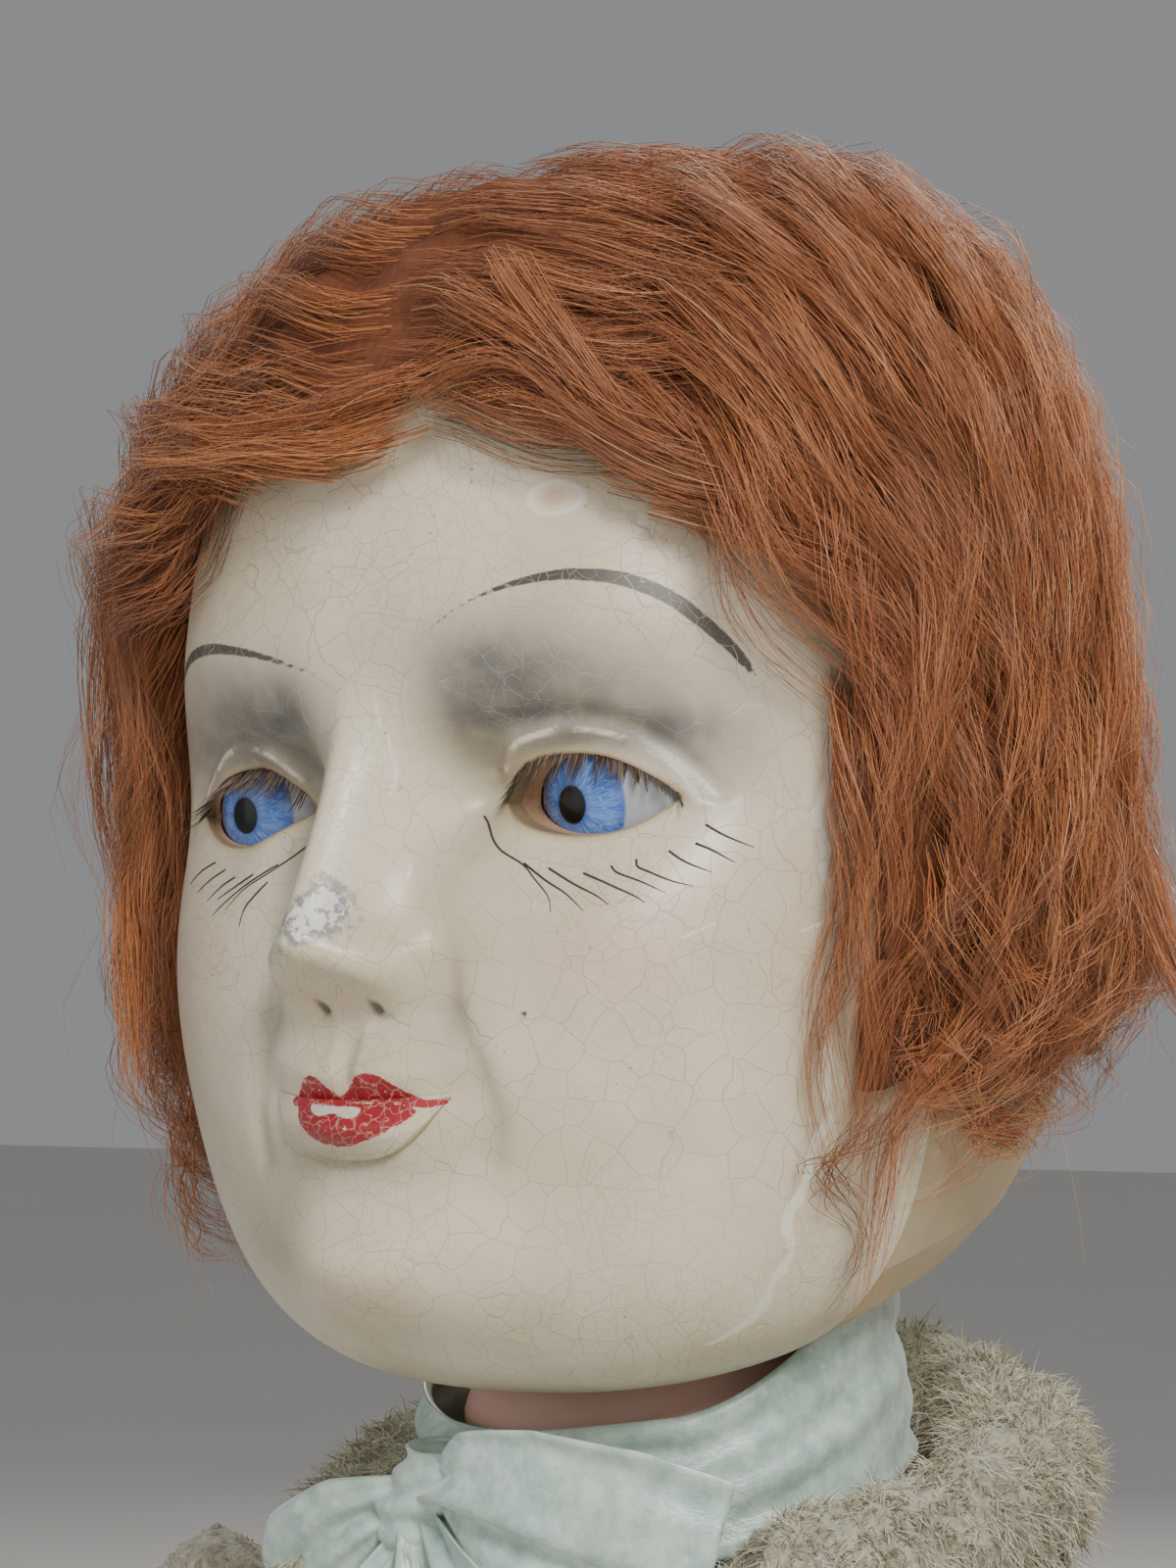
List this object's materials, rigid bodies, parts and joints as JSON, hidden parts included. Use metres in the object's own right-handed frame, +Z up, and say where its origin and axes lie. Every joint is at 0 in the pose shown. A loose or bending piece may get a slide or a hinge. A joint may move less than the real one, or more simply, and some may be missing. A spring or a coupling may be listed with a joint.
{
  "type": "ventriloquist dummy",
  "caption": "Ventriloquist dummy with a painted head, glass eyes and a moving lower lip, worked by a control stick inside its hollow torso.",
  "frame": {"origin": "middle of the seated figure's footprint, on the surface it sits on", "axes": "+Z up, -Y the way the figure faces and its legs point, +X towards the figure's own left hand"},
  "size_m": [0.261, 0.5206, 0.547],
  "materials": {
    "face_paint": "moulded papier-mache, cream oil paint with a fine crackle under varnish",
    "skull_paper": "bare papier-mache",
    "torso_paper": "bare papier-mache, glued in two halves",
    "neck_paint": "turned wood painted flesh pink, satin",
    "hair": "auburn mohair on a cloth cap",
    "lash_hair": "short dark bristle",
    "eye_white": "blown glass, white",
    "iris_glass": "blue glass with a black pupil",
    "lip_paint": "red paint, chipped",
    "brass": "plain brass",
    "steel": "bright drawn steel",
    "iron": "blackened iron collar",
    "pine": "bare pine",
    "beech": "oiled beech",
    "grip": "leather wrapped grip",
    "ribbon": "pale sea-green satin",
    "plush": "cream teddy plush",
    "button": "dark turned wood",
    "hand_paint": "carved wood painted cream",
    "shoe_leather": "dark brown leather, polished"
  },
  "bodies": {
    "torso": {"torso_front": "torso_paper", "torso_back": "torso_paper", "shoulder_board": "pine", "seat_board": "pine", "hip_ears": "beech", "shoulder_pins": "steel", "neck": "neck_paint", "ribbon_band": "ribbon", "ribbon_bow": "ribbon", "coat_body": "plush", "coat_collar": "plush", "coat_buttons": "button", "trouser_seat": "plush"},
    "control_stick": {"control_stick": "beech", "stick_grip": "grip", "stick_collar": "iron", "nod_pin": "steel"},
    "mouth_trigger": {"mouth_trigger": "brass"},
    "eye_lever": {"eye_lever": "brass"},
    "head": {"face_shell": "face_paint", "skull_shell": "skull_paper", "wig": "hair", "upper_lashes": "lash_hair", "cross_board": "pine", "eye_frame": "pine", "lip_bracket": "pine", "lip_spring": "steel"},
    "left_eye": {"eyeball_l": "eye_white", "iris_l": "iris_glass", "eye_arm_l": "brass"},
    "right_eye": {"eyeball_r": "eye_white", "iris_r_ins": "iris_glass", "eye_arm_r": "brass"},
    "eye_tie": {"eye_tie_bar": "brass"},
    "lower_lip": {"lower_lip": "lip_paint", "lip_arm": "brass"},
    "left_upper_arm": {"upper_arm_core_l": "beech", "sleeve_upper_l": "plush"},
    "left_forearm": {"forearm_core_l": "beech", "sleeve_fore_l": "plush", "hand_l": "hand_paint"},
    "left_thigh": {"thigh_core_l": "beech", "trouser_thigh_l": "plush"},
    "left_shin": {"shin_core_l": "beech", "trouser_shin_l": "plush", "shoe_l": "shoe_leather"},
    "right_upper_arm": {"upper_arm_core_r": "beech", "sleeve_upper_r": "plush"},
    "right_forearm": {"forearm_core_r": "beech", "sleeve_fore_r": "plush", "hand_r": "hand_paint"},
    "right_thigh": {"thigh_core_r": "beech", "trouser_thigh_r": "plush"},
    "right_shin": {"shin_core_r": "beech", "trouser_shin_r": "plush", "shoe_r": "shoe_leather"}
  },
  "joints": [
    {"name": "head_turn", "type": "hinge", "parent": "torso", "child": "control_stick", "pos_m": [0, 0.18195, 0.33], "axis": [0, -0.1392, 0.9903], "range_deg": [-75, 75]},
    {"name": "head_nod", "type": "hinge", "parent": "control_stick", "child": "head", "pos_m": [0, 0.17802, 0.358], "axis": [1, 0, 0], "range_deg": [-8, 4]},
    {"name": "mouth_trigger_pull", "type": "hinge", "parent": "control_stick", "child": "mouth_trigger", "pos_m": [0, 0.20143, 0.19136], "axis": [1, 0, 0], "range_deg": [0, 20], "stiffness_Nm_per_rad": 0.05, "springref_deg": -22.92},
    {"name": "lower_lip_drop", "type": "hinge", "parent": "head", "child": "lower_lip", "pos_m": [0, 0.12995, 0.366], "axis": [1, 0, 0], "range_deg": [0, 8], "deforming": ["lip_spring"]},
    {"name": "eye_lever_rock", "type": "hinge", "parent": "control_stick", "child": "eye_lever", "pos_m": [0, 0.19754, 0.21909], "axis": [0, 0.9903, 0.1392], "range_deg": [-25, 25]},
    {"name": "left_eye_turn", "type": "hinge", "parent": "head", "child": "left_eye", "pos_m": [0.0355, 0.12995, 0.427], "axis": [0, 0, 1], "range_deg": [-20.5, 20.5]},
    {"name": "right_eye_turn", "type": "hinge", "parent": "head", "child": "right_eye", "pos_m": [-0.0355, 0.12995, 0.427], "axis": [0, 0, 1], "range_deg": [-20.5, 20.5]},
    {"name": "eye_tie_slide", "type": "slide", "parent": "head", "child": "eye_tie", "axis": [1, 0, 0], "range_m": [-0.0085, 0.0085]},
    {"name": "left_shoulder", "type": "hinge", "parent": "torso", "child": "left_upper_arm", "pos_m": [0.11, 0.18395, 0.268], "axis": [1, 0, 0], "range_deg": [-82, 20]},
    {"name": "left_elbow", "type": "hinge", "parent": "left_upper_arm", "child": "left_forearm", "pos_m": [0.11, 0.18395, 0.138], "axis": [1, 0, 0], "range_deg": [-34, 60]},
    {"name": "left_hip", "type": "hinge", "parent": "torso", "child": "left_thigh", "pos_m": [0.045, 0.11795, 0.034], "axis": [1, 0, 0], "range_deg": [-15, 90]},
    {"name": "left_knee", "type": "hinge", "parent": "left_thigh", "child": "left_shin", "pos_m": [0.045, -0.06205, 0.034], "axis": [1, 0, 0], "range_deg": [0, 78]},
    {"name": "right_shoulder", "type": "hinge", "parent": "torso", "child": "right_upper_arm", "pos_m": [-0.11, 0.18395, 0.268], "axis": [1, 0, 0], "range_deg": [-82, 20]},
    {"name": "right_elbow", "type": "hinge", "parent": "right_upper_arm", "child": "right_forearm", "pos_m": [-0.11, 0.18395, 0.138], "axis": [1, 0, 0], "range_deg": [-34, 60]},
    {"name": "right_hip", "type": "hinge", "parent": "torso", "child": "right_thigh", "pos_m": [-0.045, 0.11795, 0.034], "axis": [1, 0, 0], "range_deg": [-15, 90]},
    {"name": "right_knee", "type": "hinge", "parent": "right_thigh", "child": "right_shin", "pos_m": [-0.045, -0.06205, 0.034], "axis": [1, 0, 0], "range_deg": [0, 78]}
  ],
  "couplings": [
    {"joint": "lower_lip_drop", "follows": "mouth_trigger_pull", "ratio": 0.4},
    {"joint": "left_eye_turn", "follows": "eye_lever_rock", "ratio": 0.8},
    {"joint": "right_eye_turn", "follows": "eye_lever_rock", "ratio": 0.8},
    {"joint": "eye_tie_slide", "follows": "eye_lever_rock", "m_per_rad": -0.0192}
  ]
}
